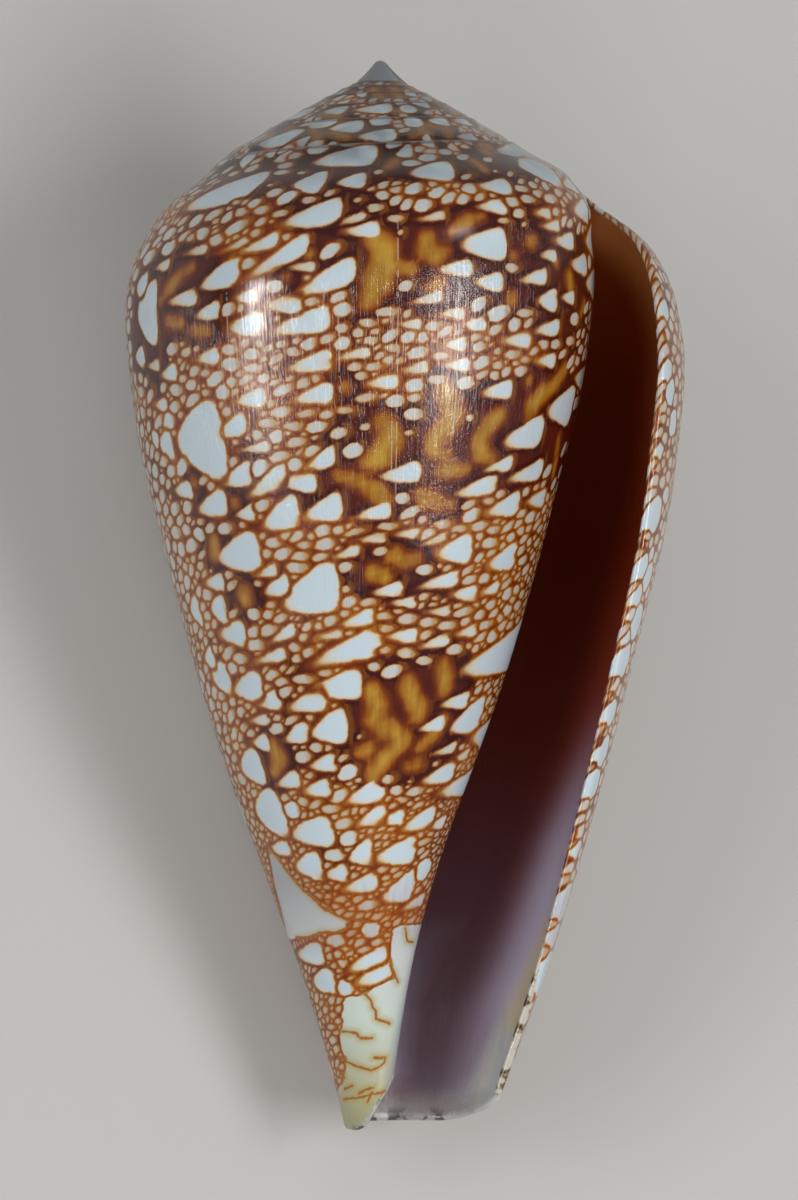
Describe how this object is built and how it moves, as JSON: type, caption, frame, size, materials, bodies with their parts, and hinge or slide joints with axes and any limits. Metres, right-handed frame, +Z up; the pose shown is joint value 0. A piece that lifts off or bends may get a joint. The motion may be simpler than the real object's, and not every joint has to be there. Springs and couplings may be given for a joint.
{
  "type": "cone shell",
  "caption": "Empty cone shell with a low stepped spire and a long narrow aperture, lying on its back.",
  "frame": {"origin": "middle of the bounding box in X and Y, on the surface that the shell lies on", "axes": "+Y towards the tip of the spire, +X towards the outer lip, +Z up out of the aperture"},
  "size_m": [0.031, 0.0588, 0.0289],
  "materials": {
    "shell": "naturally glossy shell, white tents outlined in red-brown over ochre, dark red-brown to violet inside"
  },
  "bodies": {
    "root": {"shell": "shell"}
  },
  "joints": []
}
